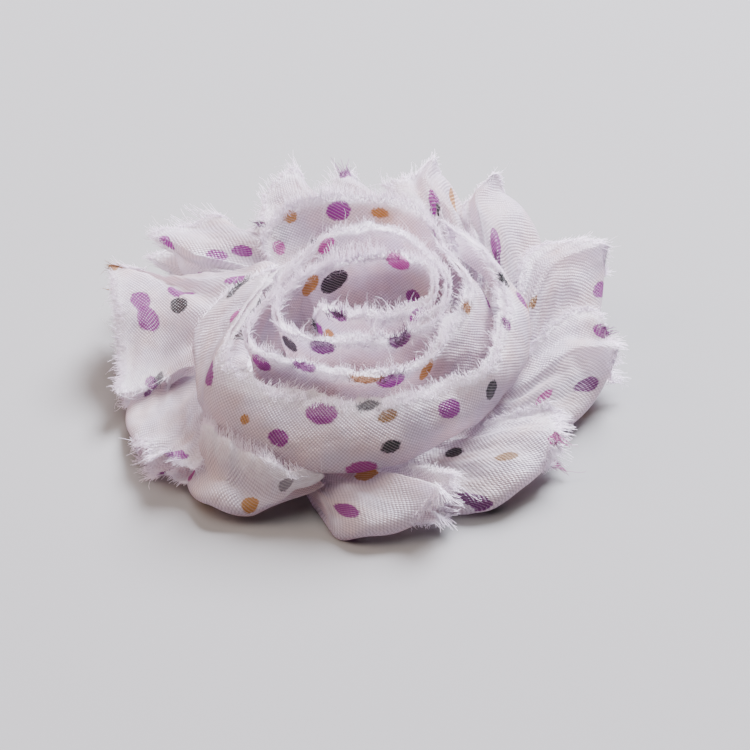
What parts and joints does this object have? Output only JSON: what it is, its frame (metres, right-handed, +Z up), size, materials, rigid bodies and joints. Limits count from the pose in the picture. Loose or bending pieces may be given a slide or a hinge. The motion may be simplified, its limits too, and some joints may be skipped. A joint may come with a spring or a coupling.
{
  "type": "flower clip",
  "caption": "Frayed cloth rosette hair clip: a coiled strip rising in a ring of pouch-shaped petals, on a round felt backing with a flat spring clip beneath.",
  "frame": {"origin": "on the clip's underside, under the flower's axis", "axes": "+X to the flower's right and towards the clip's jaw, +Y away from the viewer, +Z up out of the flower's face"},
  "size_m": [0.0667, 0.0611, 0.0194],
  "materials": {
    "chiffon": "sheer woven polyester, frayed",
    "felt": "pressed felt",
    "clip": "nickel-plated spring steel"
  },
  "bodies": {
    "root": {"rosette_coil": "chiffon", "rosette_wrap": "chiffon", "petal_01": "chiffon", "petal_02": "chiffon", "petal_03": "chiffon", "petal_04": "chiffon", "petal_05": "chiffon", "petal_06": "chiffon", "petal_07": "chiffon", "petal_08": "chiffon", "petal_09": "chiffon", "petal_10": "chiffon", "petal_11": "chiffon", "petal_12": "chiffon", "felt_base": "felt", "hair_clip": "clip"}
  },
  "joints": []
}
